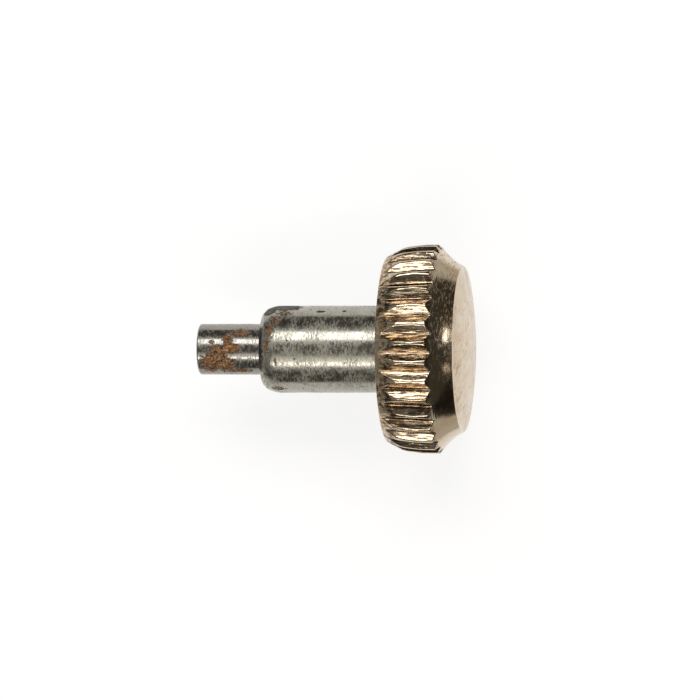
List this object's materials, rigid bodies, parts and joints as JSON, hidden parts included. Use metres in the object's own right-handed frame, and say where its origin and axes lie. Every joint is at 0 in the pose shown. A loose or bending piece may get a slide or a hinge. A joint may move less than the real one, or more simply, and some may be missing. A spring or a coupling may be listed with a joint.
{
  "type": "watch crown",
  "caption": "Screw-down watch crown: fluted gold-shelled head, nickel post with a rolled nose, and a sprung steel socket that a watch stem screws into.",
  "frame": {"origin": "on the crown's axis, in the plane of the head's flat back, which seats against the case tube", "axes": "+X along the crown's axis from the post towards the face, as it points out of a watch case; +Z towards the dial side"},
  "size_m": [0.0079, 0.006, 0.006],
  "materials": {
    "gold_shell": "polished rose gold with fine handling scratches",
    "nickel_silver": "turned, dulled and pitted",
    "steel": "turned, with rust where it is bare",
    "spring_steel": "drawn wire",
    "rubber": "moulded, matt"
  },
  "bodies": {
    "crown": {"crown_cap": "gold_shell", "crown_core": "nickel_silver", "post_tube": "nickel_silver", "stop_ring": "steel", "spring": "spring_steel", "gasket": "rubber", "gasket_washer": "steel"},
    "stem_socket": {"stem_socket": "steel"}
  },
  "joints": [
    {"name": "socket_slide", "type": "slide", "parent": "crown", "child": "stem_socket", "axis": [1, 0, 0], "range_m": [0, 0.0012], "stiffness_N_per_m": 1100, "springref_m": -0.0008, "deforming": ["spring"]}
  ]
}
